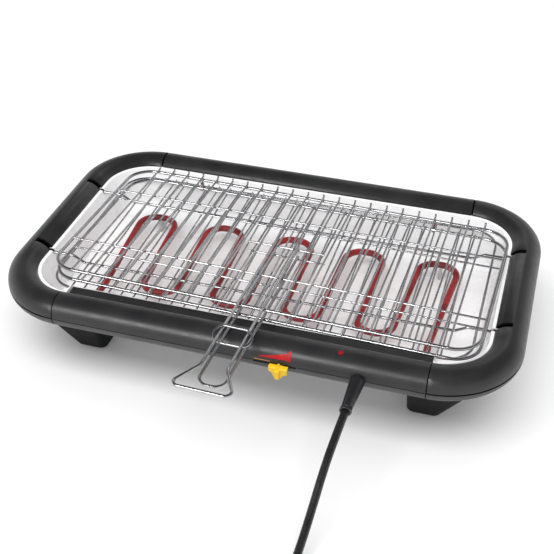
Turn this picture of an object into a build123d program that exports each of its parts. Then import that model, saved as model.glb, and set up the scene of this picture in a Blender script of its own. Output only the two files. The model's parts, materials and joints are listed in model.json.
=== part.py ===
from build123d import *
import os
from math import asin, atan2, cos, degrees, dist, pi, radians, sin, sqrt, tan

# Electric table grill: a ring of plastic tube round a reflector tray with a bare element, a lift-off base
# grill and, on top of it, a hinged wire basket with two handles and a lock ring.
# Millimetres, +Z up. The layout has the ring's centre at x = y = 0 and the floor at z = 0. At the end all
# pieces are moved together, so that the origin is the bottom centre of the grill without its cord.

# Ring of plastic tube
ring_length = 560.0
ring_depth = 339.0
ring_corner_radius = 85.0
tube_width = 34.6
tube_side = 2.0
tube_round_below = 15.0
shell_wall = 2.5
parting_height = 86.0
tray_rim_rise = 9.0
boss_diameter = 7.0
boss_inset = 18.5
end_boss_share = 0.5
back_boss_share = 0.6
panel_boss_share = 0.72
boss_regulator_gap = 35.0
boss_block_gap = 24.2

# Front panel: ledge over the element's ends and the deeper box under it
ledge_top_rise = 5.0
ledge_thickness = 2.5
panel_box_depth = 51.5
panel_box_drop = 26.0
panel_flat_floor = 24.0
panel_slope_run = 6.0

# Screws that hold the lower shells to the upper ones
screw_diameter = 3.0
screw_head_diameter = 6.0
screw_head_height = 1.8
screw_length = 14.0

# Reflector tray
tray_sheet = 1.2
tray_floor_drop = 34.0
tray_wall_run = 13.0
tray_gap = 0.4
tray_flange = 5.0
tray_front_rise = 4.5

# Feet
foot_end_inset = 73.0
foot_width = 36.0
foot_front_inset = 59.0
foot_depth = 35.5
foot_top_inner_inset = 109.0
foot_top_outer_inset = 34.0
foot_top_front_inset = 34.5
foot_top_back_inset = 99.5
foot_corner_radius = 8.0
foot_ring_inset = 16.0
foot_wall = 3.0
foot_tray_gap = 1.0
pad_diameter = 20.0
pad_height = 3.0

# Heating element
element_diameter = 7.5
element_drop = 16.0
element_centre_x = 2.5
element_loops = 5
element_end_inset = 13.8
element_loop_share = 0.515
element_back_gap = 60.0
element_front_gap = 42.0
element_fan = 0.94
element_bend_share = 0.45
element_tail = 6.0
rest_width = 3.0
rest_depth = 12.0
bushing_diameter = 13.0
bushing_collar = 17.0
bushing_collar_height = 1.6
pin_diameter = 3.0
pin_length = 8.0

# Base grill
grill_side_gap = 16.4
grill_front_gap = 5.5
grill_back_gap = 10.9
grill_corner_drop = 57.0
grill_wire = 3.0
grill_rod_wire = 2.0
grill_rod_count = 29
grill_rod_margin = 0.8
grill_loop_drop = 1.5
grill_cross_inset = 18.0
grill_tip_inset = 28.0
grill_crank_inset = 22.0
grill_crank_run = 13.0
grill_crank_radius = 5.0
grill_tip_gap = 0.3
weld_bite = 0.35

# Notches in the ring ends for the base grill's four tips
notch_width = 4.8
notch_floor_rise = 4.2
notch_inner_reach = 3.0

# Basket of two hinged grids, resting a little askew
basket_x = 12.0
basket_y = 0.0
basket_yaw = -1.7
basket_side_gap = 16.9
basket_overhang = 9.0
basket_back_gap = 37.9
basket_corner_drop = 57.0
basket_wire = 3.5
basket_rod_wire = 2.2
basket_rod_count = 22
basket_rod_margin = 1.0
basket_gap = 12.0
basket_cross_inset = 56.0
basket_seat_gap = 0.35
rod_tip_rise = 3.5
rod_tip_radius = 2.5

# Handles and lock ring
handle_wire = 3.2
handle_leg_share = 0.7
handle_inner_offset = 3.0
handle_bar_half = 44.0
neck_reach = 103.0
grip_reach = 137.5
grip_width = 64.0
neck_radius = 14.0
grip_corner_radius = 6.0
u_end_reach = 116.0
u_end_flat = 4.6
eye_length = 4.0
eye_wall = 1.6
eye_clearance = 0.06
eye_rods_apart = 15
eye_stem_width = 2.4
clip_wire = 2.2
clip_side_room = 12.4
clip_height = 19.4
clip_reach = 44.0
clip_gap = 0.4
clip_low = 4.4

# Controls on the front panel
slot_length = 44.1
slot_lamp_gap = 41.5
slot_height = 2.6
knob_along = 27.0
knob_width = 19.3
knob_height = 15.5
knob_shoulder = 8.5
knob_grip_width = 5.5
knob_thickness = 6.0
knob_rib = 3.0
knob_gap = 0.5
stem_width = 6.0
stem_thickness = 1.8
stem_length = 20.0
lamp_cord_gap = 20.5
lamp_lean = 16.0
lamp_diameter = 5.0
lamp_proud = 1.0
lamp_depth = 12.0
regulator_length = 60.0
regulator_depth = 16.0
regulator_height = 14.0
regulator_front = 15.2
block_length = 24.0
block_depth = 10.0
block_height = 16.0
block_front = 15.2
lead_diameter = 2.4
lead_inset = 26.5
lead_rise = 7.0
lead_radius = 3.0
lead_bend_run = 12.0
lead_end_run = 4.0

# Power cord: hand-chosen corners of the free stretch, first those in the air, sideways from the exit, out from
# the panel's front and up as a share of the exit's height, then those on the floor, sideways and out. After
# them comes a coil of two layers that spirals in and out.
cord_diameter = 8.0
cord_seam_gap = 65.5
cord_corners = [
    (0.0, -15.2, 1.0),
    (0.0, 3.5, 1.0),
    (-2.7, 52.5, 0.948),
    (-7.5, 92.5, 0.721),
    (-11.0, 126.5, 0.395),
    (-14.0, 160.5, 0.151),
]
cord_landing = (-17.5, 206.5)
cord_landing_gap = 0.6
cord_floor_corners = [(-20.2, 255.5), (-21.5, 305.5)]
cord_floor_gap = 1.8
sleeve_length = 42.0
sleeve_base_diameter = 15.5
sleeve_tip_diameter = 10.6
sleeve_collar_diameter = 12.2
sleeve_collar_length = 3.5
sleeve_neck_diameter = 13.0
sleeve_neck_length = 11.0
sleeve_stand_off = 0.5
sleeve_bore_gap = 0.3
sleeve_bore_overrun = 1.0
coil_turns = 3.5
coil_inner_radius = 38.75
coil_pitch = 9.0
coil_rise = 9.0
tie_width = 9.0
tie_thickness = 1.2
tie_gap = 0.5
plug_length = 32.0
plug_width = 34.0
plug_thickness = 26.0
plug_corner = 8.0
plug_neck_length = 22.0
plug_neck_diameter = 12.0
plug_pin_diameter = 4.8
plug_pin_length = 19.0
plug_pin_spacing = 19.0
plug_pin_offset = 3.0
plug_tail = 18.0

# Sizes that follow from the ones above
half_length = ring_length / 2
half_depth = ring_depth / 2
seam_x = half_length - ring_corner_radius
corner_y = half_depth - ring_corner_radius
tube_radius = tube_width / 2
spring_height = parting_height + tube_side
crown_height = spring_height + tube_radius
shell_bottom = parting_height - tube_round_below
shell_floor = shell_bottom + shell_wall
rim_height = parting_height + tray_rim_rise
rim_seat = rim_height - tray_sheet
ledge_top = parting_height + ledge_top_rise
ledge_bottom = ledge_top - ledge_thickness
inner_x = half_length - tube_width
inner_y = half_depth - tube_width
crest_y = -half_depth + tube_radius
box_wall_y = -half_depth + panel_box_depth
panel_box_bottom = parting_height - panel_box_drop
tray_floor_height = parting_height - tray_floor_drop
tray_front_top = parting_height + tray_front_rise
notch_floor = parting_height + notch_floor_rise

grill_half_width = inner_x - grill_side_gap
grill_front_y = box_wall_y + grill_front_gap
grill_back_y = inner_y - grill_back_gap
grill_corner_radius = ring_corner_radius - grill_corner_drop
grill_rod_pitch = 2 * (grill_half_width - grill_corner_radius - grill_rod_margin) / (grill_rod_count - 1)
grill_loop_height = parting_height - grill_loop_drop
grill_cross_y = corner_y - grill_cross_inset
grill_tip_x = half_length - grill_tip_inset
grill_crank_x = grill_half_width - grill_crank_inset
tip_height = notch_floor + grill_tip_gap + grill_wire / 2

basket_half_width = inner_x - basket_side_gap
basket_front_y = box_wall_y - basket_overhang
basket_back_y = inner_y - basket_back_gap
basket_corner_radius = ring_corner_radius - basket_corner_drop
basket_rod_pitch = 2 * (basket_half_width - basket_corner_radius - basket_rod_margin) / (basket_rod_count - 1)
handle_inner_y = (basket_front_y + basket_back_y) / 2 + handle_inner_offset
neck_y = basket_front_y - neck_reach
grip_y = basket_front_y - grip_reach
u_end_y = basket_front_y - u_end_reach
clip_y = basket_front_y - clip_reach
eye_spacing = eye_rods_apart * basket_rod_pitch
leg_x = handle_leg_share * basket_rod_pitch
u_end_radius = leg_x - u_end_flat / 2
clip_width = 2 * leg_x + clip_side_room

element_height = parting_height - element_drop
element_back_y = grill_back_y - element_back_gap
element_front_y = box_wall_y + element_front_gap
end_reach = (seam_x - element_end_inset) / element_fan
element_ends = [element_centre_x + side * end_reach * element_fan for side in (-1, 1)]
element_pitch = 2 * end_reach / (element_loops - 1 + element_loop_share)
element_loop_width = element_loop_share * element_pitch
element_back_radius = element_bend_share * element_loop_width
element_front_radius = element_bend_share * element_fan * (element_pitch - element_loop_width)

cord_x = seam_x - cord_seam_gap
lamp_x = cord_x - lamp_cord_gap
slot_right_x = lamp_x - slot_lamp_gap
slot_left_x = slot_right_x - slot_length
knob_x = slot_left_x + knob_along
regulator_x = (slot_left_x + slot_right_x) / 2
cord_points = [(cord_x + side, -half_depth - out, parting_height * share) for side, out, share in cord_corners]
landing_height = cord_diameter / 2 + cord_landing_gap
cord_points.append((cord_x + cord_landing[0], -half_depth - cord_landing[1], landing_height))
for side, out in cord_floor_corners:
    cord_points.append((cord_x + side, -half_depth - out, cord_diameter / 2 + cord_floor_gap))


# Shared shapes
def outline_at(inset, height):
    """The ring's outline drawn in by inset, at a height."""
    shape = RectangleRounded(ring_length - 2 * inset, ring_depth - 2 * inset, ring_corner_radius - inset)
    return Pos(0, 0, height) * shape


def drafted_block(top_inset, top, bottom_inset, bottom):
    """Block with the ring's outline, narrower at the bottom than at the top."""
    return loft([outline_at(bottom_inset, bottom), outline_at(top_inset, top)], ruled=True)


def block_between(low, high):
    """Box between two opposite corners."""
    size = [h - l for l, h in zip(low, high)]
    middle = [(h + l) / 2 for l, h in zip(low, high)]
    return Pos(*middle) * Box(*size)


def rod(start, end, diameter):
    """Straight round wire between two points."""
    line = Vector(*end) - Vector(*start)
    return extrude(Plane(origin=start, z_dir=line.normalized()) * Circle(diameter / 2), line.length)


def tube_along(path, diameter):
    """Round wire along straight runs and tangent arcs."""
    section = Plane(origin=path @ 0, z_dir=path % 0) * Circle(diameter / 2)
    return sweep(section, path=path)


def wire_loop(half_width, front, back, radius, height, diameter):
    """Straight sides and corner bends of a closed wire."""
    pieces = []
    x = half_width - radius
    low = front + radius
    high = back - radius
    for y in (front, back):
        pieces.append(rod((-x, y, height), (x, y, height), diameter))
    for side in (-half_width, half_width):
        pieces.append(rod((side, low, height), (side, high, height), diameter))
    section = Plane(origin=(radius, 0, 0), x_dir=(1, 0, 0), z_dir=(0, 1, 0)) * Circle(diameter / 2)
    bend = revolve(section, Axis.Z, 90)
    for cx, cy, turn in ((x, high, 0), (-x, high, 90), (-x, low, 180), (x, low, 270)):
        pieces.append(Pos(cx, cy, height) * Rot(0, 0, turn) * bend)
    return pieces


def welded(pieces):
    """One solid out of wires that bite into each other."""
    return pieces[0].fuse(*pieces[1:])


# Ring shells: in a section u runs inwards from the ring's outer side and v is the height
def upper_section(inner_edge):
    """Wall of the upper half tube, its inner side ending at a height."""
    sides = Pos(tube_radius, parting_height + tube_side / 2)
    outside = Pos(tube_radius, spring_height) * Circle(tube_radius)
    outside += sides * Rectangle(tube_width, tube_side)
    hollow = Pos(tube_radius, spring_height) * Circle(tube_radius - shell_wall)
    hollow += sides * Rectangle(tube_width - 2 * shell_wall, tube_side)
    below = Pos(tube_radius, parting_height - tube_width) * Rectangle(2 * tube_width, 2 * tube_width)
    inside = Pos(tube_width, inner_edge - tube_width) * Rectangle(tube_width, 2 * tube_width)
    return outside - hollow - below - inside


def lower_outline(floor_points, top):
    """Outline of a lower shell with its inner wall up to a height."""
    reach = tube_round_below * sin(pi / 4)
    low = (tube_round_below, shell_bottom)
    arc = ThreePointArc((0, parting_height), (tube_round_below - reach, parting_height - reach), low)
    inner_u = floor_points[-1][0]
    rest = Polyline(low, *floor_points, (inner_u, top), (0, top), (0, parting_height))
    return make_face(Curve() + [arc, rest])


def over_parting(inner_u):
    """Region over the lower shell that belongs to the upper one."""
    reach = inner_u - shell_wall
    return Pos(reach / 2, parting_height + tube_width) * Rectangle(reach, 2 * tube_width)


def lower_section(floor_points, top):
    """Wall of a lower shell: round outside, floor and inner wall."""
    outline = lower_outline(floor_points, top)
    deep = lower_outline(floor_points, top + 4 * shell_wall)
    hollow = offset(deep, -shell_wall, kind=Kind.INTERSECTION)
    return outline - hollow - over_parting(floor_points[-1][0])


ring_floor = [(tube_width, shell_bottom)]
panel_floor = [
    (panel_flat_floor, shell_bottom),
    (panel_flat_floor + panel_slope_run, panel_box_bottom),
    (panel_box_depth, panel_box_bottom),
]


def panel_plane(x):
    return Plane(origin=(x, -half_depth, 0), x_dir=(0, 1, 0), z_dir=(1, 0, 0))


def panel_run(section):
    """Straight run along the front between the two seams."""
    return extrude(panel_plane(-seam_x) * section, 2 * seam_x)


def end_run(section):
    """Right end of the ring with its two corners."""
    side = Plane(origin=(half_length, -corner_y, 0), x_dir=(-1, 0, 0), z_dir=(0, 1, 0))
    back = Plane(origin=(half_length, corner_y, 0), x_dir=(-1, 0, 0), z_dir=(0, 1, 0))
    front_corner = revolve(panel_plane(seam_x) * section, Axis((seam_x, -corner_y, 0), (0, 0, 1)), 90)
    back_corner = revolve(back * section, Axis((seam_x, corner_y, 0), (0, 0, 1)), 90)
    return extrude(side * section, 2 * corner_y).fuse(front_corner, back_corner)


boss_x = half_length - boss_inset
boss_y = half_depth - boss_inset
end_boss_places = [(boss_x, side * end_boss_share * corner_y) for side in (-1, 1)]
back_boss_places = [(side * back_boss_share * seam_x, boss_y) for side in (-1, 1)]
panel_boss_places = [
    (-panel_boss_share * seam_x, -boss_y),
    (regulator_x - regulator_length / 2 - boss_regulator_gap, -boss_y),
    (cord_x + block_length / 2 + boss_block_gap, -boss_y),
]


def bosses(places):
    """Screw pillars inside the upper shell, standing on the lower shell's floor."""
    pillars = []
    for x, y in places:
        rise = crown_height - shell_wall / 2 - shell_floor
        pillar = extrude(Circle(boss_diameter / 2) - Circle(screw_diameter / 2), screw_length)
        pillar += Pos(0, 0, screw_length) * extrude(Circle(boss_diameter / 2), rise - screw_length)
        pillars.append(Pos(x, y, shell_floor) * pillar)
    return pillars


def screw_holes(places):
    return [rod((x, y, shell_bottom - 1), (x, y, shell_floor + 1), screw_diameter) for x, y in places]


def screw(x, y):
    """Pan-head screw from below."""
    shank = rod((x, y, shell_bottom), (x, y, shell_floor + screw_length), screw_diameter)
    return shank + rod((x, y, shell_bottom - screw_head_height), (x, y, shell_bottom), screw_head_diameter)


def notches():
    """Slots over the inner side of the right end for two tips of the base grill."""
    slots = []
    for y in (-grill_cross_y, grill_cross_y):
        low = (inner_x - notch_inner_reach, y - notch_width / 2, notch_floor)
        high = (half_length - tube_radius, y + notch_width / 2, crown_height + 1)
        slots.append(block_between(low, high))
    return slots


# Openings of the front panel
cord_axis = Plane(origin=(cord_x, -half_depth, parting_height), x_dir=(1, 0, 0), z_dir=(0, -1, 0))
cord_hole = cord_axis * Cylinder(sleeve_neck_diameter / 2, 6 * shell_wall)
lamp_angle = radians(lamp_lean)
lamp_out = (0, -sin(lamp_angle), cos(lamp_angle))
lamp_seat = (lamp_x, crest_y + tube_radius * lamp_out[1], spring_height + tube_radius * lamp_out[2])
lamp_plane = Plane(origin=lamp_seat, x_dir=(1, 0, 0), z_dir=lamp_out)


def make_front_upper():
    """Front panel: half tube with the inner ledge, pillars, and holes for lamp and cord."""
    shell = panel_run(upper_section(ledge_bottom))
    low = (-seam_x, -inner_y - shell_wall / 2, ledge_bottom)
    shell += block_between(low, (seam_x, box_wall_y, ledge_top))
    shell = shell.fuse(*bosses(panel_boss_places))
    lamp_hole = lamp_plane * Cylinder(lamp_diameter / 2, 4 * shell_wall)
    return shell.cut(cord_hole, lamp_hole)


def make_front_lower():
    """Lower half of the front panel: box with the slider's slot and the bushing holes."""
    shell = panel_run(lower_section(panel_floor, ledge_bottom))
    end_wall = lower_outline(panel_floor, ledge_bottom) - over_parting(panel_box_depth)
    shell += extrude(panel_plane(-seam_x) * end_wall, shell_wall)
    shell += extrude(panel_plane(seam_x - shell_wall) * end_wall, shell_wall)
    low = (slot_left_x, -half_depth - 1, parting_height - slot_height)
    cuts = [cord_hole, block_between(low, (slot_right_x, -half_depth + 2 * shell_wall, parting_height + 1))]
    for x in element_ends:
        start = (x, box_wall_y + 1, element_height)
        cuts.append(rod(start, (x, box_wall_y - shell_wall - 1, element_height), bushing_diameter))
    return shell.cut(*cuts, *screw_holes(panel_boss_places))


def make_end_upper():
    return end_run(upper_section(rim_height)).fuse(*bosses(end_boss_places)).cut(*notches())


def make_end_lower():
    shell = end_run(lower_section(ring_floor, rim_seat))
    return shell.cut(*notches(), *screw_holes(end_boss_places))


def make_back_upper():
    return mirror(panel_run(upper_section(rim_height)), about=Plane.XZ).fuse(*bosses(back_boss_places))


def make_back_lower():
    shell = mirror(panel_run(lower_section(ring_floor, rim_seat)), about=Plane.XZ)
    return shell.cut(*screw_holes(back_boss_places))


# Tray and feet
tray_inset = tube_width + tray_gap
foot_outer_x = half_length - foot_end_inset
foot_front_y = half_depth - foot_front_inset


def tray_block(skin):
    """Outside of the tray drawn in by skin, with the bite for the front panel's box."""
    block = drafted_block(
        tray_inset + skin, rim_height, tray_inset + tray_wall_run + skin, tray_floor_height + skin
    )
    bite_x = seam_x + tray_gap + skin
    bite_y = box_wall_y + tray_gap + skin
    return block - block_between((-bite_x, -half_depth, 0), (bite_x, bite_y, crown_height))


def make_tray():
    """Bright reflector tray, hung by its rim between the upper and lower shells."""
    rim = extrude(outline_at(tray_inset - tray_flange, rim_seat), tray_sheet)
    bite = (seam_x + tray_gap, box_wall_y + tray_gap)
    rim -= block_between((-bite[0], -half_depth, 0), (bite[0], bite[1], crown_height))
    tray = rim + tray_block(0.0) - tray_block(tray_sheet)
    top_low = (-bite[0] - tray_sheet, bite[1] - 1, tray_front_top)
    tray -= block_between(top_low, (bite[0] + tray_sheet, bite[1] + tray_sheet, crown_height))
    cuts = notches()
    cuts += [mirror(slot, about=Plane.YZ) for slot in cuts]
    for x in element_ends:
        start = (x, bite[1] - 1, element_height)
        cuts.append(rod(start, (x, bite[1] + tray_sheet + 1, element_height), bushing_collar + 2 * tray_gap))
    return tray.cut(*cuts)


def foot_block(skin, bottom, top):
    """Right front foot drawn in by skin: wide under the ring's corner, narrow on the floor."""
    faces = []
    low = (foot_outer_x - foot_width, foot_outer_x, foot_front_y - foot_depth, foot_front_y)
    high = (
        half_length - foot_top_inner_inset,
        half_length - foot_top_outer_inset,
        half_depth - foot_top_back_inset,
        half_depth - foot_top_front_inset,
    )
    for height in (bottom, top):
        share = (height - pad_height) / (shell_bottom - pad_height)
        x0, x1, y0, y1 = [a + (b - a) * share for a, b in zip(low, high)]
        shape = RectangleRounded(x1 - x0 - 2 * skin, y1 - y0 - 2 * skin, foot_corner_radius - skin)
        faces.append(Pos((x0 + x1) / 2, -(y0 + y1) / 2, height) * shape)
    under_ring = extrude(outline_at(foot_ring_inset + skin, bottom), top - bottom)
    return loft(faces, ruled=True) & under_ring


def make_foot():
    """Hollow foot under the ring's corner, cut away round the tray."""
    foot = foot_block(0.0, pad_height, shell_bottom)
    foot -= drafted_block(
        tray_inset - foot_tray_gap,
        rim_height,
        tray_inset + tray_wall_run - foot_tray_gap,
        tray_floor_height - foot_tray_gap,
    )
    box_low = (0, -half_depth, panel_box_bottom - foot_tray_gap)
    foot -= block_between(box_low, (seam_x + foot_tray_gap, box_wall_y + 1, crown_height))
    hollow = foot_block(foot_wall, pad_height + foot_wall, shell_bottom + 1)
    return (foot - hollow).solids().sort_by(SortBy.VOLUME)[-1]


def make_pad():
    x = foot_outer_x - foot_width / 2
    y = -foot_front_y + foot_depth / 2
    return rod((x, y, 0), (x, y, pad_height), pad_diameter)


# Heating element
def element_corners():
    """Corners of the serpentine and their bend radii, from the left end to the right end."""
    tail_y = box_wall_y - shell_wall - element_tail
    points = [(element_ends[0], tail_y), (element_ends[0], element_front_y)]
    radii = [element_front_radius]
    for i in range(element_loops):
        middle = (i - (element_loops - 1) / 2) * element_pitch
        left = middle - element_loop_width / 2
        right = middle + element_loop_width / 2
        if i > 0:
            points.append((element_centre_x + left * element_fan, element_front_y))
            radii.append(element_front_radius)
        points.append((element_centre_x + left, element_back_y))
        points.append((element_centre_x + right, element_back_y))
        radii += [element_back_radius, element_back_radius]
        if i < element_loops - 1:
            points.append((element_centre_x + right * element_fan, element_front_y))
            radii.append(element_front_radius)
    points += [(element_ends[1], element_front_y), (element_ends[1], tail_y)]
    radii.append(element_front_radius)
    return [(x, y, element_height) for x, y in points], radii


def make_element():
    points, radii = element_corners()
    return tube_along(FilletPolyline(*points, radius=radii), element_diameter)


def make_rest(x, element):
    """Post on the tray's floor under a back bend."""
    floor = tray_floor_height + tray_sheet
    low = (x - rest_width / 2, element_back_y - rest_depth / 2, floor)
    return block_between(low, (x + rest_width / 2, element_back_y + rest_depth / 2, element_height)) - element


def make_bushing(x):
    """Ceramic bushing in the box's inner wall round the element's end."""
    inner_end = box_wall_y - shell_wall - 2
    collar_end = box_wall_y + bushing_collar_height
    body = rod((x, inner_end, element_height), (x, collar_end, element_height), bushing_diameter)
    body += rod((x, box_wall_y, element_height), (x, collar_end, element_height), bushing_collar)
    return body - rod((x, inner_end - 1, element_height), (x, collar_end + 1, element_height), element_diameter)


pin_start_y = box_wall_y - shell_wall - element_tail


def make_pin(x):
    return rod((x, pin_start_y, element_height), (x, pin_start_y - pin_length, element_height), pin_diameter)


# Base grill: rods on top of the loop and of two cross wires, whose raised tips carry it
grill_rod_height = grill_loop_height + (grill_wire + grill_rod_wire) / 2 - weld_bite


def make_base_grill():
    wires = wire_loop(
        grill_half_width, grill_front_y, grill_back_y, grill_corner_radius, grill_loop_height, grill_wire
    )
    for y in (-grill_cross_y, grill_cross_y):
        points = [
            (-grill_tip_x, y, tip_height),
            (-grill_crank_x - grill_crank_run, y, tip_height),
            (-grill_crank_x, y, grill_loop_height),
            (grill_crank_x, y, grill_loop_height),
            (grill_crank_x + grill_crank_run, y, tip_height),
            (grill_tip_x, y, tip_height),
        ]
        wires.append(tube_along(FilletPolyline(*points, radius=grill_crank_radius), grill_wire))
    for i in range(grill_rod_count):
        x = (i - (grill_rod_count - 1) / 2) * grill_rod_pitch
        start = (x, grill_front_y - grill_wire / 2, grill_rod_height)
        wires.append(rod(start, (x, grill_back_y + grill_wire / 2, grill_rod_height), grill_rod_wire))
    return welded(wires)


# Basket: built level at the lower loop's height, then tilted, turned and set down. It rests with its lower
# handle on the front panel's crest and with the right side of its loop on the tray's rim at the back.
rod_rise = (basket_wire + basket_rod_wire) / 2 - weld_bite
cross_rise = rod_rise - basket_rod_wire + weld_bite
handle_rise = (basket_wire + handle_wire) / 2 - weld_bite
back_support = rim_height + basket_seat_gap + basket_wire / 2
back_support_y = basket_back_y - basket_corner_radius / 2
front_support = crown_height + basket_seat_gap + handle_wire / 2 - handle_rise
basket_slope = (front_support - back_support) / (back_support_y - crest_y)
basket_height = back_support + back_support_y * basket_slope
basket_place = Pos(basket_x, basket_y, basket_height) * Rot(0, 0, basket_yaw) * Rot(
    -degrees(atan2(basket_slope, 1)), 0, 0
)


def basket_frame(height):
    """Loop and two cross wires of one grid."""
    wires = wire_loop(
        basket_half_width, basket_front_y, basket_back_y, basket_corner_radius, height, basket_wire
    )
    reach = basket_half_width - weld_bite
    for y in (basket_front_y + basket_cross_inset, basket_back_y - basket_cross_inset):
        wires.append(rod((-reach, y, height + cross_rise), (reach, y, height + cross_rise), basket_rod_wire))
    return wires


def make_lower_grid():
    """Lower grid, its rods halfway between the upper grid's."""
    wires = basket_frame(0.0)
    for i in range(basket_rod_count - 1):
        x = (i - (basket_rod_count - 2) / 2) * basket_rod_pitch
        wires.append(rod((x, basket_front_y, rod_rise), (x, basket_back_y, rod_rise), basket_rod_wire))
    return welded(wires)


def make_upper_grid():
    """Upper grid, its rods turned up behind the back rail, with the two hinge eyes."""
    wires = basket_frame(basket_gap)
    height = basket_gap + rod_rise
    back = basket_back_y + basket_wire / 2 + rod_tip_radius
    for i in range(basket_rod_count):
        x = (i - (basket_rod_count - 1) / 2) * basket_rod_pitch
        points = [(x, basket_front_y, height), (x, back, height), (x, back, height + rod_tip_rise)]
        wires.append(tube_along(FilletPolyline(*points, radius=rod_tip_radius), basket_rod_wire))
    return welded(wires)


def make_eye(x):
    """Hinge eye round the lower grid's back rail, with a stem to the upper grid's."""
    bore = basket_wire / 2 + eye_clearance
    outside = bore + eye_wall
    start = (x - eye_length / 2, basket_back_y, 0)
    end = (x + eye_length / 2, basket_back_y, 0)
    stem_top = basket_gap - basket_wire / 2 + weld_bite
    stem_low = (x - eye_length / 2, basket_back_y - eye_stem_width / 2, bore + eye_wall / 2)
    stem = block_between(stem_low, (x + eye_length / 2, basket_back_y + eye_stem_width / 2, stem_top))
    return rod(start, end, 2 * outside) + stem - rod(start, end, 2 * bore)


def make_handle(height, corners, radii):
    """Two legs with a shaped outer end, welded to a short bar under the rods."""
    left = [(-leg_x, handle_inner_y)] + [(-x, y) for x, y in corners]
    right = [(x, y) for x, y in corners[::-1]] + [(leg_x, handle_inner_y)]
    points = [(x, y, height + handle_rise) for x, y in left + right]
    wire = tube_along(FilletPolyline(*points, radius=radii + radii[::-1]), handle_wire)
    bar_y = handle_inner_y - handle_wire / 2
    bar_height = height + cross_rise
    bar = rod((-handle_bar_half, bar_y, bar_height), (handle_bar_half, bar_y, bar_height), basket_rod_wire)
    return wire + bar


clip_leg_height = basket_gap + handle_rise
clip_top = (handle_wire + clip_wire) / 2 + clip_gap
clip_lean = degrees(asin((clip_top + clip_low) / clip_height))


def make_clip():
    """Lock ring round the upper handle's legs, its front side lying between the two handles."""
    half = clip_height / 2
    straight = clip_width / 2 - half
    section = Plane(origin=(straight, half, 0), z_dir=(1, 0, 0)) * Circle(clip_wire / 2)
    bend = revolve(section, Axis((straight, 0, 0), (0, 0, -1)), 180)
    pieces = [bend, Rot(0, 0, 180) * bend]
    for y in (-half, half):
        pieces.append(rod((-straight, y, 0), (straight, y, 0), clip_wire))
    ring = Pos(0, -half, 0) * welded(pieces)
    return Pos(0, clip_y, clip_leg_height + clip_top) * Rot(clip_lean, 0, 0) * ring


# Controls and wiring
slot_middle = parting_height - slot_height / 2


def make_knob():
    """Slider knob: a broad top that narrows to a grip, with a rib down its front."""
    half = knob_width / 2
    grip = knob_grip_width / 2
    shoulder = parting_height - knob_shoulder
    bottom = parting_height - knob_height
    right = [(half, parting_height), (half, shoulder), (grip, bottom)]
    left = [(-x, z) for x, z in right[::-1]]
    back_y = -half_depth - knob_gap
    plane = Plane(origin=(knob_x, back_y, 0), x_dir=(1, 0, 0), z_dir=(0, -1, 0))
    body = extrude(plane * make_face(Polyline(*right, *left, close=True)), knob_thickness)
    front_y = back_y - knob_thickness
    rib_low = (knob_x - grip, front_y - knob_rib, bottom)
    return body + block_between(rib_low, (knob_x + grip, front_y, parting_height))


def make_stem():
    """Flat stem from the knob through the slot into the regulator."""
    start = -half_depth - knob_gap
    low = (knob_x - stem_width / 2, start, slot_middle - stem_thickness / 2)
    return block_between(low, (knob_x + stem_width / 2, start + stem_length, slot_middle + stem_thickness / 2))


def make_regulator():
    """Slide regulator with a slit for the stem."""
    front = -half_depth + regulator_front
    low = (regulator_x - regulator_length / 2, front, shell_floor)
    high = (regulator_x + regulator_length / 2, front + regulator_depth, shell_floor + regulator_height)
    slit_low = (slot_left_x, front - 1, parting_height - slot_height)
    slit_high = (slot_right_x, front + regulator_depth / 2, parting_height)
    return block_between(low, high) - block_between(slit_low, slit_high)


def make_lamp_lens():
    return lamp_plane * extrude(Pos(0, 0, -shell_wall) * Circle(lamp_diameter / 2), shell_wall + lamp_proud)


def make_lamp_body():
    return lamp_plane * extrude(Pos(0, 0, -shell_wall) * Circle(lamp_diameter / 2), -lamp_depth)


def make_block():
    """Terminal block behind the cord's inner end."""
    front = -half_depth + block_front
    high = (cord_x + block_length / 2, front + block_depth, shell_floor + block_height)
    return block_between((cord_x - block_length / 2, front, shell_floor), high)


def make_lead(x, start_x):
    """Lead from a device in the panel to one end of the element."""
    lead_y = -half_depth + lead_inset
    side = 1 if x > start_x else -1
    points = [
        (start_x, lead_y - lead_diameter, shell_floor + lead_rise),
        (x - lead_bend_run * side, lead_y - lead_diameter, shell_floor + lead_rise),
        (x, pin_start_y - pin_length - lead_end_run, element_height),
        (x, pin_start_y - pin_length, element_height),
    ]
    return tube_along(FilletPolyline(*points, radius=lead_radius), lead_diameter)


# Cord
def cord_path():
    """Straight runs of the free stretch with a tangent arc at every corner."""
    radii = []
    for a, b, c in zip(cord_points, cord_points[1:], cord_points[2:]):
        first = Vector(*b) - Vector(*a)
        second = Vector(*c) - Vector(*b)
        half_turn = radians(first.get_angle(second)) / 2
        radii.append(0.45 * min(first.length, second.length) / tan(half_turn))
    print("cord bend radii", [round(r, 1) for r in radii])
    return FilletPolyline(*cord_points, radius=radii)


coil_outer_radius = coil_inner_radius + coil_pitch * coil_turns / 2
coil_centre = (cord_points[-1][0] - coil_outer_radius, cord_points[-1][1])
coil_low = cord_points[-1][2]


def coil_point(turn):
    """Centre line of the coil: in on the lower layer, up at the innermost turn, out on the upper layer."""
    inward = min(turn, coil_turns - turn)
    radius = coil_outer_radius - coil_pitch * inward
    share = min(max((turn - coil_turns / 2) * 2 + 0.5, 0.0), 1.0)
    height = coil_low + coil_rise * share * share * (3 - 2 * share)
    angle = -2 * pi * turn
    return (coil_centre[0] + radius * cos(angle), coil_centre[1] + radius * sin(angle), height)


def coil_tangent(turn):
    step = 0.004
    return (Vector(*coil_point(turn + step)) - Vector(*coil_point(turn - step))).normalized()


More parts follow.
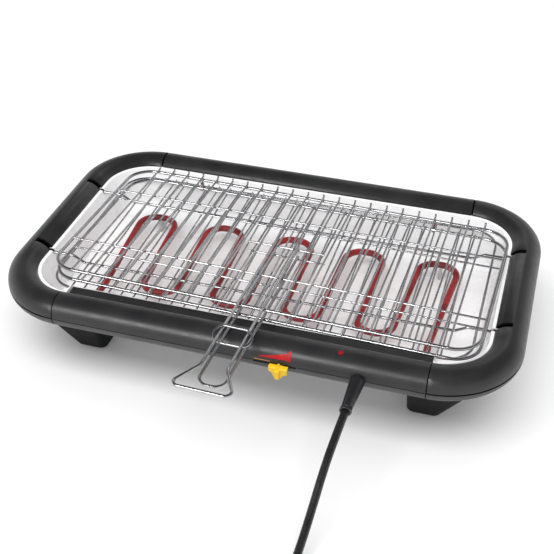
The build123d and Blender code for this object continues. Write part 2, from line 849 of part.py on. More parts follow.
def coil_path():
    """Two tangent arcs for every quarter turn."""
    arcs = []
    count = round(coil_turns * 4)
    for i in range(count):
        start = Vector(*coil_point(i / 4))
        end = Vector(*coil_point((i + 1) / 4))
        out = arcs[-1] % 1 if arcs else coil_tangent(0)
        back = coil_tangent((i + 1) / 4)
        gap = end - start
        both = out + back
        a = both.dot(both) - 4
        b = -2 * gap.dot(both)
        reach = (-b - sqrt(b * b - 4 * a * gap.dot(gap))) / (2 * a)
        middle = (start + out * reach + end - back * reach) / 2
        arcs.append(TangentArc(start, middle, tangent=out))
        arcs.append(TangentArc(middle, end, tangent=arcs[-1] % 1))
    return Wire(arcs)


def coil_gap(path):
    """Least gap between neighbouring turns, on points along the path."""
    count = 700
    points = [tuple(path @ (i / count)) for i in range(count + 1)]
    apart = round(0.4 * count / coil_turns)
    least = min(dist(p, q) for i, p in enumerate(points) for q in points[i + apart:])
    return least - cord_diameter


def make_strain_relief():
    """Tapered sleeve along the cord's first run, its neck held in the hole between the panel's shells."""
    kink = Vector(*cord_points[1])
    along = (Vector(*cord_points[2]) - kink).normalized()
    lead = -half_depth - sleeve_stand_off - kink.Y
    lean = Plane(origin=kink - along * lead, x_dir=(1, 0, 0), z_dir=along)
    taper = sleeve_length - sleeve_collar_length
    neck_end = 2 * sleeve_stand_off
    sleeve = lean * loft([Circle(sleeve_base_diameter / 2), Pos(0, 0, taper) * Circle(sleeve_tip_diameter / 2)])
    sleeve += lean * extrude(Pos(0, 0, taper) * Circle(sleeve_collar_diameter / 2), sleeve_collar_length)
    neck = Pos(0, 0, -sleeve_neck_length) * Circle(sleeve_neck_diameter / 2)
    sleeve += cord_axis * extrude(neck, sleeve_neck_length + neck_end)
    bore = cord_diameter + 2 * sleeve_bore_gap
    entry = (kink - Vector(*cord_points[0])).normalized() * sleeve_bore_overrun
    sleeve -= rod(cord_points[0], tuple(kink + entry), bore)
    start = kink - along * sleeve_bore_overrun
    return sleeve - rod(tuple(start), tuple(start + along * 2 * sleeve_length), bore)


def make_tie():
    """Band round the coil's turns on the side away from the grill."""
    inner = coil_point(coil_turns / 2 - 0.5)
    near = coil_inner_radius + coil_pitch * 0.5 - cord_diameter / 2 - tie_gap
    far = near + coil_pitch + cord_diameter + 2 * tie_gap
    low = inner[2] - cord_diameter / 2 - tie_gap
    high = low + coil_rise + cord_diameter + 2 * tie_gap
    half = tie_width / 2
    hole = block_between((-half - 1, -far, low), (half + 1, -near, high))
    t = tie_thickness
    band = block_between((-half, -far - t, low - t), (half, -near + t, high + t))
    return Pos(coil_centre[0], coil_centre[1], 0) * (band - hole)


tail_start = Vector(*coil_point(coil_turns))
tail_along = coil_tangent(coil_turns)
plug_plane = Plane(origin=tail_start + tail_along * plug_tail, x_dir=(0, 0, 1), z_dir=tail_along)


def make_plug_body():
    """Plain plug: round neck that widens into a block."""
    face = RectangleRounded(plug_thickness, plug_width, plug_corner)
    neck = loft([Circle(plug_neck_diameter / 2), Pos(0, 0, plug_neck_length) * Circle(plug_thickness / 2 - 2)])
    return plug_plane * (neck + extrude(Pos(0, 0, plug_neck_length) * face, plug_length))


def make_plug_pin(offset_up, offset_side):
    end = plug_neck_length + plug_length
    section = Pos(offset_up, offset_side, end) * Circle(plug_pin_diameter / 2)
    return plug_plane * extrude(section, plug_pin_length)


# Build every node
nodes = {}
nodes["front_panel"] = make_front_upper()
nodes["front_lower_shell"] = make_front_lower()
nodes["right_end_upper"] = make_end_upper()
nodes["right_end_lower"] = make_end_lower()
nodes["left_end_upper"] = mirror(nodes["right_end_upper"], about=Plane.YZ)
nodes["left_end_lower"] = mirror(nodes["right_end_lower"], about=Plane.YZ)
nodes["back_upper"] = make_back_upper()
nodes["back_lower"] = make_back_lower()
nodes["drip_tray"] = make_tray()

foot = make_foot()
pad = make_pad()
for name, shape in (("foot", foot), ("foot_pad", pad)):
    nodes[name + "_front_right"] = shape
    nodes[name + "_front_left"] = mirror(shape, about=Plane.YZ)
    nodes[name + "_back_right"] = mirror(shape, about=Plane.XZ)
    nodes[name + "_back_left"] = mirror(nodes[name + "_front_left"], about=Plane.XZ)

nodes["heating_element"] = make_element()
for i in range(0, element_loops, 2):
    rest_x = element_centre_x + (i - (element_loops - 1) / 2) * element_pitch
    nodes[f"element_rest_{i // 2 + 1}"] = make_rest(rest_x, nodes["heating_element"])
for side, x in zip(("left", "right"), element_ends):
    nodes["element_bushing_" + side] = make_bushing(x)
    nodes["terminal_pin_" + side] = make_pin(x)

end_places = end_boss_places + [(-x, y) for x, y in end_boss_places]
for i, (x, y) in enumerate(panel_boss_places + back_boss_places + end_places):
    nodes[f"shell_screw_{i + 1}"] = screw(x, y)

nodes["regulator_body"] = make_regulator()
nodes["terminal_block"] = make_block()
nodes["pilot_lamp_lens"] = make_lamp_lens()
nodes["pilot_lamp_body"] = make_lamp_body()
nodes["lead_left"] = make_lead(element_ends[0], regulator_x - regulator_length / 2)
nodes["lead_right"] = make_lead(element_ends[1], cord_x + block_length / 2)
nodes["slider_knob"] = make_knob()
nodes["slider_stem"] = make_stem()

nodes["base_grill"] = make_base_grill()
flare = [(leg_x, neck_y), (grip_width / 2, grip_y)]
basket = {
    "basket_lower_grid": make_lower_grid(),
    "basket_upper_grid": make_upper_grid(),
    "lower_handle": make_handle(0.0, [(leg_x, u_end_y)], [u_end_radius]),
    "upper_handle": make_handle(basket_gap, flare, [neck_radius, grip_corner_radius]),
    "hinge_eye_left": make_eye(-eye_spacing / 2),
    "hinge_eye_right": make_eye(eye_spacing / 2),
    "lock_ring": make_clip(),
}
for name, shape in basket.items():
    nodes[name] = basket_place * shape

cord_nodes = {}
cord_nodes["power_cord"] = tube_along(cord_path(), cord_diameter)
nodes["strain_relief"] = make_strain_relief()
coil_wire = coil_path()
cord_nodes["cord_coil"] = tube_along(coil_wire, cord_diameter)
cord_nodes["cord_tail"] = rod(tail_start, tail_start + tail_along * plug_tail, cord_diameter)
cord_nodes["cord_tie"] = make_tie()
cord_nodes["plug_body"] = make_plug_body()
for i, side in enumerate((-1, 0, 1)):
    offset_up = plug_pin_offset if side == 0 else 0.0
    cord_nodes[f"plug_pin_{i + 1}"] = make_plug_pin(offset_up, side * plug_pin_spacing / 2)

# Move everything to the bottom centre of the grill and write the files
box = Compound(children=[Compound(s.wrapped) for s in nodes.values()]).bounding_box()
shift = Pos(-box.center().X, -box.center().Y, -box.min.Z)
os.makedirs("parts", exist_ok=True)
for name, shape in {**nodes, **cord_nodes}.items():
    solids = shape.solids()
    solid = shift * (solids[0] if len(solids) == 1 else Compound(children=list(solids)))
    solid.label = name
    export_step(solid, f"parts/{name}.step")

# What the joints need
section_area = pi * (cord_diameter / 2) ** 2
for name in ("power_cord", "cord_coil"):
    print(name, "length", round(cord_nodes[name].volume / section_area, 1))
print("coil gap", round(coil_gap(coil_wire), 2), "coil length", round(coil_wire.length, 1))
print("shift", [round(v, 3) for v in tuple(shift.position)], "box", box.min, box.max)
hinge = (shift * basket_place * Pos(0, basket_back_y, 0)).position
print("hinge", [round(v, 3) for v in tuple(hinge)])
for name, along in (("basket x", (1, 0, 0)), ("basket y", (0, 1, 0)), ("basket z", (0, 0, 1))):
    axis = (basket_place * Pos(*along)).position - basket_place.position
    print(name, [round(v, 5) for v in tuple(axis)])
slider_low = slot_left_x + stem_width / 2 + knob_gap - knob_x
slider_high = slot_right_x - stem_width / 2 - knob_gap - knob_x
print("slider range", round(slider_low, 2), round(slider_high, 2))
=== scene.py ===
import json
from math import asin, cos, pi, radians, sin

import bmesh
import bpy
from mathutils import Matrix, Vector


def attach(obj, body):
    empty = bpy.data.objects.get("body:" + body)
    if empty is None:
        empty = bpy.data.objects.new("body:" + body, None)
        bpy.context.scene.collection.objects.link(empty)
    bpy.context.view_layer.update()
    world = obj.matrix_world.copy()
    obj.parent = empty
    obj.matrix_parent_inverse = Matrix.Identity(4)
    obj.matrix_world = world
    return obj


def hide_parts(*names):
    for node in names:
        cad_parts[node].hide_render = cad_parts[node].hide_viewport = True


# Looks of the electric table grill. Lengths are in millimetres in the CAD model's ring-centred layout and
# become metres in the shared frame through at(), whose Y is moved by shift_y. Lamps, floor and camera are
# in metres.
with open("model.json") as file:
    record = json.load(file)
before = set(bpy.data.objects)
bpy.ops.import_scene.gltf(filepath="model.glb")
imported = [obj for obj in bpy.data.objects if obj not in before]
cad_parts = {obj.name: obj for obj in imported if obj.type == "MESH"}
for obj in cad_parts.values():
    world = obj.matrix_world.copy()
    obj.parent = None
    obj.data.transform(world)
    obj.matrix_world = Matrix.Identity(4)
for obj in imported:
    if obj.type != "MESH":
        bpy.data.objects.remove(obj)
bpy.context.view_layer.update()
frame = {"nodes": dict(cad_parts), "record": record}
nodes = frame["nodes"]
mm = 0.001
shift_y = 48.279


def at(x, y, z):
    """Layout point as a point of the shared frame."""
    return Vector((x * mm, (y + shift_y) * mm, z * mm))


def add(name, data):
    """New object in the scene."""
    made = bpy.data.objects.new(name, data)
    bpy.context.scene.collection.objects.link(made)
    return made


def point_at(made, place, target):
    """Put a lamp or camera at a place and turn it to a target."""
    made.location = place
    made.rotation_mode = "QUATERNION"
    made.rotation_quaternion = (Vector(target) - Vector(place)).to_track_quat("-Z", "Y")


# Layout values shared with the CAD model
panel_front_y = -169.5
tube_radius = 17.3
tube_centre_y = panel_front_y + tube_radius
tube_centre_z = 88.0
parting_z = 86.0
knob_x = 50.4
cord_x = 129.5
cord_diameter = 8.0
grill_rods = 29
grill_pitch = 14.3
grill_rails_y = (-112.5, 124.0, -66.5, 66.5)
lower_rods = 21
upper_rods = 22
basket_pitch = 19.0
basket_rails_y = (-127.0, 97.0)
basket_origin = (12.0, 0.0, 99.624)
basket_turn = -1.7
basket_tilt = -1.742
basket_place = (
    Matrix.Translation(at(*basket_origin))
    @ Matrix.Rotation(radians(basket_turn), 4, "Z")
    @ Matrix.Rotation(radians(basket_tilt), 4, "X")
)
level_place = Matrix.Translation((0.0, shift_y * mm, 0.0))


# Material helpers
def material(name):
    """New material with its node tree, its shader and the object coordinates."""
    made = bpy.data.materials.new(name)
    made.use_nodes = True
    tree = made.node_tree
    place = tree.nodes.new("ShaderNodeTexCoord")
    return made, tree, tree.nodes["Principled BSDF"], place.outputs["Object"]


def noise(tree, where, scale, detail=4.0):
    """Noise value."""
    made = tree.nodes.new("ShaderNodeTexNoise")
    made.inputs["Scale"].default_value = scale
    made.inputs["Detail"].default_value = detail
    tree.links.new(where, made.inputs["Vector"])
    return made.outputs["Fac"]


def tones(tree, value, low, high, start=0.35, end=0.65):
    """Colour between two tones."""
    ramp = tree.nodes.new("ShaderNodeValToRGB")
    ramp.color_ramp.elements[0].position = start
    ramp.color_ramp.elements[0].color = (*low, 1.0)
    ramp.color_ramp.elements[1].position = end
    ramp.color_ramp.elements[1].color = (*high, 1.0)
    tree.links.new(value, ramp.inputs["Fac"])
    return ramp.outputs["Color"]


def spread(tree, value, low, high, start=0.3, end=0.7):
    """Number between two limits."""
    made = tree.nodes.new("ShaderNodeMapRange")
    made.inputs["From Min"].default_value = start
    made.inputs["From Max"].default_value = end
    made.inputs["To Min"].default_value = low
    made.inputs["To Max"].default_value = high
    tree.links.new(value, made.inputs["Value"])
    return made.outputs["Result"]


def bump(tree, value, depth, strength=1.0, under=None):
    """Bump of a depth in metres, on top of another one if given."""
    made = tree.nodes.new("ShaderNodeBump")
    made.inputs["Strength"].default_value = strength
    made.inputs["Distance"].default_value = depth
    tree.links.new(value, made.inputs["Height"])
    if under is not None:
        tree.links.new(under, made.inputs["Normal"])
    return made.outputs["Normal"]


def surface(tree, shader, colour, rough, normal):
    """Link a shader's colour, roughness and normal."""
    for value, socket in ((colour, "Base Color"), (rough, "Roughness"), (normal, "Normal")):
        tree.links.new(value, shader.inputs[socket])


def plastic(name, low, high, rough, grain=1500.0, depth=0.00005, cloud=35.0):
    """Moulded plastic: fine spark-eroded grain, faint clouds in tone and gloss."""
    made, tree, shader, where = material(name)
    colour = tones(tree, noise(tree, where, cloud), low, high)
    gloss = spread(tree, noise(tree, where, cloud * 4, detail=6.0), *rough)
    skin = bump(tree, noise(tree, where, grain, detail=2.0), depth)
    surface(tree, shader, colour, gloss, skin)
    return made


def wire_metal(name, low, high, rough):
    """Plated wire: drawing marks and small stains in the gloss."""
    made, tree, shader, where = material(name)
    shader.inputs["Metallic"].default_value = 1.0
    colour = tones(tree, noise(tree, where, scale=60.0), low, high)
    stains = noise(tree, where, scale=900.0, detail=5.0)
    surface(tree, shader, colour, spread(tree, stains, *rough), bump(tree, stains, depth=0.00002))
    return made


def enamel(name, low, high, rough):
    """Bright tray: glossy white coat over sheet that isn't quite flat, with fine specks."""
    made, tree, shader, where = material(name)
    colour = tones(tree, noise(tree, where, scale=14.0, detail=3.0), low, high)
    gloss = spread(tree, noise(tree, where, scale=90.0, detail=5.0), *rough)
    waves = bump(tree, noise(tree, where, scale=22.0, detail=2.0), depth=0.0008, strength=0.5)
    grit = noise(tree, where, scale=1300.0, detail=3.0)
    specks = bump(tree, grit, depth=0.00004, strength=0.7, under=waves)
    surface(tree, shader, colour, gloss, specks)
    return made


def fired_red(name, low, high, rough):
    """Element's sheath: dull red with darker scorched patches and drawing lines."""
    made, tree, shader, where = material(name)
    colour = tones(tree, noise(tree, where, scale=45.0, detail=6.0), low, high)
    gloss = spread(tree, noise(tree, where, scale=300.0, detail=5.0), *rough)
    lines = bump(tree, noise(tree, where, scale=700.0), depth=0.00008)
    surface(tree, shader, colour, gloss, lines)
    return made


def lens_red(name, low, high, rough):
    """Pilot lamp's cap: clear red with a cut pattern inside."""
    made, tree, shader, where = material(name)
    cells = tree.nodes.new("ShaderNodeTexVoronoi")
    cells.inputs["Scale"].default_value = 900.0
    tree.links.new(where, cells.inputs["Vector"])
    value = cells.outputs["Distance"]
    colour = tones(tree, value, low, high, start=0.1, end=0.7)
    cuts = bump(tree, value, depth=0.0002, strength=0.5)
    surface(tree, shader, colour, spread(tree, value, *rough), cuts)
    return made


def rubber(name, low, high, rough):
    """Cord's jacket: a faint drawn skin."""
    made, tree, shader, where = material(name)
    colour = tones(tree, noise(tree, where, scale=90.0, detail=5.0), low, high)
    skin = noise(tree, where, scale=800.0)
    surface(tree, shader, colour, spread(tree, skin, *rough), bump(tree, skin, depth=0.00008))
    return made


def gloss_level(made, level):
    """Material with its reflection at a level, where 0.5 is plain."""
    made.node_tree.nodes["Principled BSDF"].inputs["Specular IOR Level"].default_value = level
    return made


# Finish of each material slot: low and high tone, then the limits of the roughness
foot_plastic = plastic("foot_black", (0.004, 0.004, 0.005), (0.008, 0.008, 0.009), (0.5, 0.64))
moulding = rubber("cord_moulding", (0.008, 0.008, 0.009), (0.014, 0.014, 0.015), (0.17, 0.28))
ceramic = plastic("bushing_ceramic", (0.62, 0.59, 0.52), (0.74, 0.71, 0.64), (0.4, 0.6), grain=600.0)
yellow = plastic(
    "knob_yellow", (0.86, 0.53, 0.010), (0.95, 0.61, 0.014), (0.3, 0.42), grain=1200.0, depth=0.00003
)
finishes = {
    "upper_shell_black": plastic("shell_black", (0.012, 0.012, 0.013), (0.019, 0.019, 0.02), (0.33, 0.43)),
    # The lower shells are the same black plastic as the upper ones; their lighter tone is a painted
    # reflection of the bright floor below them
    "lower_shell_black": plastic("lower_black", (0.042, 0.042, 0.043), (0.06, 0.06, 0.061), (0.44, 0.58)),
    "foot_black": gloss_level(foot_plastic, 0.2),
    "foot_rubber": rubber("foot_rubber", (0.012, 0.012, 0.012), (0.03, 0.03, 0.03), (0.7, 0.9)),
    "tray_white": enamel("tray_enamel", (0.925, 0.925, 0.93), (0.96, 0.96, 0.96), (0.22, 0.4)),
    "element_red": fired_red("element_red", (0.17, 0.012, 0.014), (0.40, 0.022, 0.026), (0.34, 0.6)),
    "rest_steel": wire_metal("rest_steel", (0.42, 0.42, 0.42), (0.55, 0.55, 0.55), (0.3, 0.5)),
    "bushing_ceramic": ceramic,
    "pin_brass": wire_metal("pin_brass", (0.60, 0.42, 0.16), (0.72, 0.52, 0.22), (0.25, 0.45)),
    "screw_steel": wire_metal("screw_steel", (0.38, 0.38, 0.39), (0.52, 0.52, 0.53), (0.28, 0.45)),
    "inner_plastic": plastic("inner_plastic", (0.16, 0.16, 0.15), (0.22, 0.22, 0.21), (0.5, 0.65)),
    "lamp_red": lens_red("lamp_red", (0.15, 0.003, 0.004), (0.34, 0.010, 0.012), (0.08, 0.2)),
    "lead_plastic": rubber("lead_jacket", (0.45, 0.42, 0.36), (0.55, 0.52, 0.46), (0.5, 0.7)),
    "knob_yellow": yellow,
    "wire_chrome": wire_metal("wire_chrome", (0.36, 0.36, 0.37), (0.50, 0.50, 0.51), (0.06, 0.14)),
    "cord_moulding": gloss_level(moulding, 1.0),
    "cord_rubber": rubber("cord_rubber", (0.008, 0.008, 0.009), (0.015, 0.015, 0.016), (0.24, 0.4)),
    "tie_plastic": plastic("tie_plastic", (0.02, 0.02, 0.02), (0.035, 0.035, 0.035), (0.35, 0.5)),
}
for part in frame["record"]["subparts"]:
    skin = nodes[part["node"]].data.materials
    skin.clear()
    skin.append(finishes[part["material_slot"]])

# Finishes of the prints, and the near-black painted shade of the seams
ink = {"rough": (0.4, 0.55), "grain": 900.0, "depth": 0.00002, "cloud": 160.0}
printed_red = gloss_level(plastic("print_red", (0.42, 0.006, 0.009), (0.54, 0.011, 0.014), **ink), 0.25)
printed_orange = plastic("print_orange", (0.62, 0.22, 0.008), (0.74, 0.30, 0.012), **ink)
# Painted shade for the seam grooves and the parting line, laid on the rubber skin
seam_shade_skin = rubber("seam_shade", (0.0015, 0.0015, 0.0015), (0.004, 0.004, 0.004), (0.8, 0.95))
seam_shade = gloss_level(seam_shade_skin, 0.1)

# Rounded edges on the end and back shells and on the feet; on the shells the rounds carry a near-black
# painted shade, which draws the seams as shaded grooves. The front shells stay as they are, because their
# long thin faces would crease.
shell_edge = 1.1
foot_edge = 0.9
weld_distance = 0.01
shell_sharp_angle = 40.0
rounded = {"back_upper": shell_edge, "back_lower": shell_edge}
for side in ("left", "right"):
    for half in ("upper", "lower"):
        rounded[f"{side}_end_{half}"] = shell_edge
    for end in ("front", "back"):
        rounded[f"foot_{end}_{side}"] = foot_edge


def round_edges(made, width, sharp_angle):
    """Bevel on the edges of an object that are sharper than an angle."""
    edge = made.modifiers.new("edge", "BEVEL")
    edge.width = width * mm
    edge.segments = 2
    edge.limit_method = "ANGLE"
    edge.angle_limit = radians(sharp_angle)
    return edge


for name, width in rounded.items():
    weld = nodes[name].modifiers.new("weld", "WELD")
    weld.merge_threshold = weld_distance * mm
    edge = round_edges(nodes[name], width, shell_sharp_angle)
    edge.harden_normals = True
    if width == shell_edge:
        edge.use_clamp_overlap = False
        # The rounds' faces take the near-black painted shade of the seams
        edge.material = 1
        nodes[name].data.materials.append(seam_shade)


# Piece helpers
def to_mesh(name, shape):
    """Mesh out of a finished bmesh, its normals outwards."""
    bmesh.ops.recalc_face_normals(shape, faces=shape.faces)
    mesh = bpy.data.meshes.new(name)
    shape.to_mesh(mesh)
    shape.free()
    return mesh


def ring_surface(shape, rings):
    """Closed skin over rings of points with as many points each."""
    loops = [[shape.verts.new(p) for p in ring] for ring in rings]
    count = len(loops[0])
    for a, b in zip(loops, loops[1:]):
        for i in range(count):
            shape.faces.new((a[i], a[(i + 1) % count], b[(i + 1) % count], b[i]))
    shape.faces.new(loops[0][::-1])
    shape.faces.new(loops[-1])


def piece(name, shape, body, slot, replaced=(), smooth=True, finish=None):
    """New object of a finished bmesh with the slot's finish, or another one, riding on a body."""
    mesh = to_mesh(name, shape)
    mesh.materials.append(finish or finishes[slot])
    if smooth:
        mesh.polygons.foreach_set("use_smooth", [True] * len(mesh.polygons))
    made = add(name, mesh)
    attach(made, body)
    if replaced:
        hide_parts(*replaced)
    return made


# Power cord: the route's corners, then the coil by the formula that the CAD model winds it with
route = [
    (cord_x, -154.3, parting_z),
    (cord_x, -173.0, parting_z),
    (126.8, -222.0, 81.5),
    (122.0, -262.0, 62.0),
    (118.5, -296.0, 34.0),
    (115.5, -330.0, 13.0),
    (112.0, -376.0, 4.6),
    (109.3, -425.0, 5.8),
    (108.0, -475.0, 5.8),
]
coil_turns = 3.5
coil_pitch = 9.0
coil_rise = 9.0
coil_inner_radius = 38.75
coil_outer_radius = coil_inner_radius + coil_pitch * coil_turns / 2
coil_x = route[-1][0] - coil_outer_radius
coil_y = route[-1][1]
coil_low = route[-1][2]
steps_per_turn = 24
control_swell = 1.0 / cos(pi / steps_per_turn)  # the curve runs inside its control points
plug_tail = 18.0
plug_depth = 4.0


def coil_point(turn):
    """Point of the coil's centre line: in on the lower layer, then out on the upper one."""
    radius = (coil_outer_radius - coil_pitch * min(turn, coil_turns - turn)) * control_swell
    share = min(max((turn - coil_turns / 2) * 2 + 0.5, 0.0), 1.0)
    height = coil_low + coil_rise * share * share * (3 - 2 * share)
    return (coil_x + radius * cos(2 * pi * turn), coil_y - radius * sin(2 * pi * turn), height)


cord_points = list(route)
for i in range(1, round(coil_turns * steps_per_turn) + 1):
    cord_points.append(coil_point(i / steps_per_turn))
end_x, end_y, end_z = cord_points[-1]
cord_points.append((end_x, end_y + plug_tail + plug_depth, end_z))
curve = bpy.data.curves.new("power_lead", "CURVE")
curve.dimensions = "3D"
curve.bevel_depth = cord_diameter / 2 * mm
curve.bevel_resolution = 5
curve.use_fill_caps = True
line = curve.splines.new("NURBS")
line.points.add(len(cord_points) - 1)
for point, place in zip(line.points, cord_points):
    point.co = (*at(*place), 1.0)
line.order_u = 3
line.use_endpoint_u = True
line.resolution_u = 10
curve.materials.append(finishes["cord_rubber"])
lead = add("power_lead", curve)
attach(lead, "base")
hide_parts("power_cord", "cord_coil", "cord_tail")

# Strain relief: tapered sleeve with lengthwise flutes and a rounded collar. Its stations are a place
# along the cord, a radius and the depth of the flutes.
sleeve_gap = 0.5
sleeve_sides = 48
flutes = 8
sleeve_profile = [
    (0.0, 6.6, 0.0),
    (0.0, 7.55, 0.0),
    (0.8, 7.75, 0.0),
    (3.5, 7.6, 0.0),
    (5.0, 7.4, 0.35),
    (14.0, 6.85, 0.5),
    (24.0, 6.25, 0.5),
    (33.0, 5.7, 0.4),
    (36.5, 5.5, 0.0),
    (37.6, 5.45, 0.0),
    (38.4, 5.85, 0.0),
    (39.3, 6.1, 0.0),
    (41.2, 6.1, 0.0),
    (41.9, 5.8, 0.0),
    (42.0, 4.3, 0.0),
    (40.0, 4.15, 0.0),
]
kink = at(*route[1])
run = (at(*route[2]) - kink).normalized()
lead_in = (panel_front_y - sleeve_gap - route[1][1]) * mm
sleeve_start = kink - run * lead_in
across = Vector((1, 0, 0))
across = (across - run * across.dot(run)).normalized()
upright = run.cross(across)
rings = []
for along, radius, depth in sleeve_profile:
    ring = []
    for i in range(sleeve_sides):
        angle = 2 * pi * i / sleeve_sides
        cut = depth * max(0.0, cos(flutes * angle)) ** 2
        out = across * cos(angle) + upright * sin(angle)
        ring.append(sleeve_start + run * (along * mm) + out * ((radius - cut) * mm))
    rings.append(ring)
shape = bmesh.new()
ring_surface(shape, rings)
sleeve = piece("strain_sleeve", shape, "base", "cord_moulding", ["strain_relief"])

# Slider knob: broad top with a pointer that steps down to a narrow grip, and a ridge down its front. Its
# outlines are sideways and up, and its layers are how far out and how far drawn in.
knob_gap = 0.5
knob_back_y = panel_front_y - knob_gap
knob_edge = 0.35
knob_sharp_angle = 30.0
knob_layers = [(0.0, 0.5), (0.5, 0.0), (5.0, 0.0), (6.0, 0.9)]
knob_outline = [
    (-9.65, 86.0),
    (-2.2, 86.0),
    (0.0, 88.6),
    (2.2, 86.0),
    (9.65, 85.6),
    (9.65, 78.6),
    (5.6, 77.4),
    (4.4, 74.0),
    (3.2, 72.8),
    (-3.2, 72.8),
    (-4.4, 74.0),
    (-6.4, 79.6),
    (-9.65, 81.0),
]
ridge_layers = [(5.9, 0.0), (8.0, 0.15), (9.0, 0.8)]
ridge_outline = [(-2.4, 73.6), (2.4, 73.6), (2.4, 84.6), (-2.4, 84.6)]


def drawn_in(outline, inset):
    """Outline pulled towards its middle by about an inset."""
    middle = (sum(x for x, _ in outline) / len(outline), sum(z for _, z in outline) / len(outline))
    made = []
    for x, z in outline:
        away = Vector((x - middle[0], z - middle[1]))
        made.append((x - away.x / away.length * inset, z - away.y / away.length * inset))
    return made


shape = bmesh.new()
for outline, layers in ((knob_outline, knob_layers), (ridge_outline, ridge_layers)):
    rings = []
    for out, inset in layers:
        rings.append([at(knob_x + x, knob_back_y - out, z) for x, z in drawn_in(outline, inset)])
    ring_surface(shape, rings)
knob = piece("knob_cap", shape, "slider", "knob_yellow", ["slider_knob"], smooth=False)
round_edges(knob, knob_edge, knob_sharp_angle)

# Heat scale, a rising wedge with an end bar, and a line at the slot, printed on the panel's round face.
# Their stations are a place along the panel, a lower and an upper edge.
print_lift = 0.06
wedge = [(29.0, 91.6, 92.4), (44.0, 91.8, 95.2), (58.0, 92.0, 98.8)]
end_bar = [(58.8, 91.4, 100.2), (62.0, 91.4, 101.0)]
slot_line = [(24.5, 87.6, 88.4), (41.0, 87.6, 88.4)]
print_steps = 12
print_rows = 6


def on_panel(x, z):
    """Point on the panel's round front at a height, lifted by the print."""
    radius = tube_radius + print_lift
    angle = asin((z - tube_centre_z) / tube_radius)
    return at(x, tube_centre_y - radius * cos(angle), tube_centre_z + radius * sin(angle))


def edges_at(stations, x):
    """Lower and upper edge of a print between its stations."""
    for (x0, l0, h0), (x1, l1, h1) in zip(stations, stations[1:]):
        if x <= x1:
            share = (x - x0) / (x1 - x0)
            return l0 + (l1 - l0) * share, h0 + (h1 - h0) * share
    return stations[-1][1:]


def printed(*prints):
    """Sheets of print, each between its stations."""
    shape = bmesh.new()
    for stations in prints:
        columns = []
        start, end = stations[0][0], stations[-1][0]
        for i in range(print_steps + 1):
            x = start + (end - start) * i / print_steps
            low, high = edges_at(stations, x)
            heights = [low + (high - low) * j / print_rows for j in range(print_rows + 1)]
            columns.append([shape.verts.new(on_panel(x, z)) for z in heights])
        for a, b in zip(columns, columns[1:]):
            for j in range(print_rows):
                shape.faces.new((a[j], b[j], b[j + 1], a[j + 1]))
    return shape


piece("heat_scale", printed(wedge, end_bar), "base", "lamp_red", finish=printed_red)
piece("slot_line", printed(slot_line), "base", "knob_yellow", finish=printed_orange)

# Strip of near-black painted shade along the parting line between the front panel and its lower shell,
# where the groove's shade falls; left out at the slider's slot and at the cord. Its outline is how deep
# and how far up.
shade_runs = [(-194.4, 22.4), (68.5, 121.0), (138.0, 194.4)]
shade_outline = [(0.0, -0.75), (0.5, -0.9), (0.5, 0.15), (0.0, 0.0)]
shade_front_y = panel_front_y - print_lift
shape = bmesh.new()
for shade_ends in shade_runs:
    rings = []
    for x in shade_ends:
        rings.append([at(x, shade_front_y + depth, parting_z + up) for depth, up in shade_outline])
    ring_surface(shape, rings)
piece("parting_shade", shape, "base", "lower_shell_black", smooth=False, finish=seam_shade)

# Weld nubs where the rods cross the loops and the cross wires
nub_rings = 5
nub_sides = 8
nub_flatness = 0.62
grill_nub = 1.75
grill_nub_z = 85.8
basket_nub = 2.0
lower_nub_z = 1.55
upper_nub_z = 13.55


def nub(shape, place, centre, wide):
    """Small flattened ball of weld."""
    rows = []
    for i in range(1, nub_rings):
        lift = pi * i / nub_rings - pi / 2
        high = nub_flatness * wide * sin(lift)
        ring = []
        for j in range(nub_sides):
            turn = 2 * pi * j / nub_sides
            local = Vector((wide * cos(lift) * cos(turn), wide * cos(lift) * sin(turn), high))
            ring.append(place @ ((Vector(centre) + local) * mm))
        rows.append(ring)
    ring_surface(shape, rows)


def nubs(body, name, place, rails_y, count, pitch, height, wide):
    """Nubs of one grid: rods at a pitch over rails at their places along Y."""
    shape = bmesh.new()
    for i in range(count):
        x = (i - (count - 1) / 2) * pitch
        for y in rails_y:
            nub(shape, place, (x, y, height), wide)
    piece(name, shape, body, "wire_chrome")


base_rods = (grill_rods, grill_pitch, grill_nub_z, grill_nub)
lower_basket_rods = (lower_rods, basket_pitch, lower_nub_z, basket_nub)
upper_basket_rods = (upper_rods, basket_pitch, upper_nub_z, basket_nub)
nubs("base_grill", "base_grill_welds", level_place, grill_rails_y, *base_rods)
nubs("basket_lower", "lower_grid_welds", basket_place, basket_rails_y, *lower_basket_rods)
nubs("basket_upper", "upper_grid_welds", basket_place, basket_rails_y, *upper_basket_rods)

# Floor and light
floor_half = 6.0
floor_tone = (0.80, 0.80, 0.80)
floor_glow = 0.06
fade_start = 0.75
fade_end = 1.9
sky_top = (0.10, 0.10, 0.105)
dome_rim = (0.12, 0.12, 0.12)
dome_strength = 0.78
white = (1.0, 1.0, 1.0)
black = (0.0, 0.0, 0.0)


def seen_directly(tree):
    """1 for camera, glossy and transmission rays that no matt surface has scattered before."""
    path = tree.nodes.new("ShaderNodeLightPath")
    value = path.outputs["Is Camera Ray"]
    steps = {"Is Glossy Ray": "MAXIMUM", "Is Transmission Ray": "MAXIMUM", "Diffuse Depth": "SUBTRACT"}
    for output, operation in steps.items():
        step = tree.nodes.new("ShaderNodeMath")
        step.operation = operation
        step.use_clamp = True
        tree.links.new(value, step.inputs[0])
        tree.links.new(path.outputs[output], step.inputs[1])
        value = step.outputs[0]
    return value


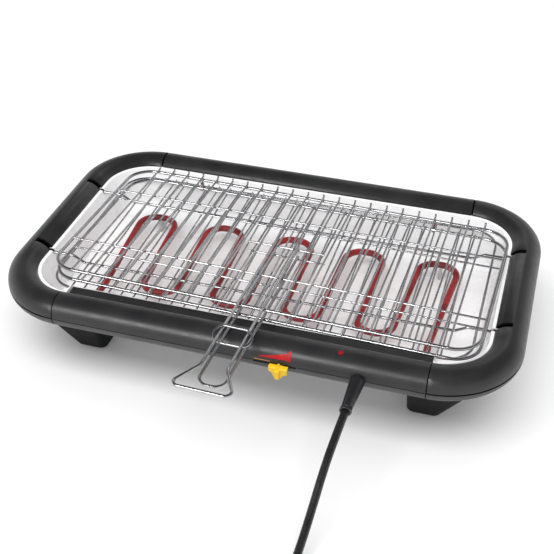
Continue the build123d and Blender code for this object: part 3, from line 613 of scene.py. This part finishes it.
# The floor is lit near the grill and fades into the white background further out
shape = bmesh.new()
bmesh.ops.create_grid(shape, x_segments=1, y_segments=1, size=floor_half)
floor = add("floor", to_mesh("floor", shape))
floor_material, tree, shader, where = material("floor_pale")
shader.inputs["Roughness"].default_value = 0.9
shader.inputs["Specular IOR Level"].default_value = 0.0
distance = tree.nodes.new("ShaderNodeVectorMath")
distance.operation = "LENGTH"
tree.links.new(where, distance.inputs[0])
far = spread(tree, distance.outputs["Value"], low=0.0, high=1.0, start=fade_start, end=fade_end)
tone = tones(tree, far, floor_tone, black, start=0.0, end=1.0)
tree.links.new(tone, shader.inputs["Base Color"])
glow = tree.nodes.new("ShaderNodeEmission")
glow.inputs["Color"].default_value = (*white, 1.0)
brighten = tree.nodes.new("ShaderNodeMath")
brighten.operation = "MULTIPLY"
tree.links.new(seen_directly(tree), brighten.inputs[0])
tree.links.new(spread(tree, far, low=floor_glow, high=1.0, start=0.0, end=1.0), brighten.inputs[1])
tree.links.new(brighten.outputs[0], glow.inputs["Strength"])
both = tree.nodes.new("ShaderNodeAddShader")
tree.links.new(shader.outputs[0], both.inputs[0])
tree.links.new(glow.outputs[0], both.inputs[1])
tree.links.new(both.outputs[0], tree.nodes["Material Output"].inputs["Surface"])
floor.data.materials.append(floor_material)

# World: a white horizon that darkens upwards where it is seen or mirrored, a soft dome where it lights
world = bpy.data.worlds.new("studio")
world.use_nodes = True
bpy.context.scene.world = world
tree = world.node_tree
sky = tree.nodes["Background"]
dome = tree.nodes.new("ShaderNodeBackground")
place = tree.nodes.new("ShaderNodeTexCoord")
parted = tree.nodes.new("ShaderNodeSeparateXYZ")
tree.links.new(place.outputs["Generated"], parted.inputs["Vector"])
height = parted.outputs["Z"]
tree.links.new(tones(tree, height, white, sky_top, start=0.16, end=0.55), sky.inputs["Color"])
tree.links.new(tones(tree, height, dome_rim, white, start=0.05, end=0.55), dome.inputs["Color"])
dome.inputs["Strength"].default_value = dome_strength
either = tree.nodes.new("ShaderNodeMixShader")
tree.links.new(seen_directly(tree), either.inputs["Fac"])
tree.links.new(dome.outputs[0], either.inputs[1])
tree.links.new(sky.outputs[0], either.inputs[2])
tree.links.new(either.outputs[0], tree.nodes["World Output"].inputs["Surface"])


def area_light(name, place, target, size, watts, card):
    """Soft box that faces a target; a card shows in gloss alone, another lamp lights alone."""
    lamp = bpy.data.lights.new(name, "AREA")
    lamp.shape = "RECTANGLE"
    lamp.size, lamp.size_y = size
    lamp.energy = watts
    made = add(name, lamp)
    point_at(made, place, target)
    made.visible_glossy = card
    made.visible_diffuse = not card


area_light("key_high", (0.0, -1.9, 4.4), (0.0, 0.0, 0.05), size=(5.2, 2.4), watts=200.0, card=False)
area_light("front_card", (-0.96, -2.6, 1.65), (0.0, 0.0, 0.08), size=(1.6, 0.7), watts=56.0, card=True)
area_light("back_card", (0.0, 2.25, 2.0), (0.0, 0.0, 0.08), size=(0.9, 0.5), watts=2.8, card=True)

# Camera at the photograph's angle
camera_place = (0.2651, -0.8428, 0.7522)
camera_target = (-0.00296, 0.04948, 0.060)
camera_data = bpy.data.cameras.new("camera")
camera_data.sensor_width = 36.0
camera_data.lens = 66.34
camera_data.clip_end = 30.0
camera = add("camera", camera_data)
point_at(camera, camera_place, camera_target)
bpy.context.scene.camera = camera
bpy.context.scene.view_settings.view_transform = "Standard"
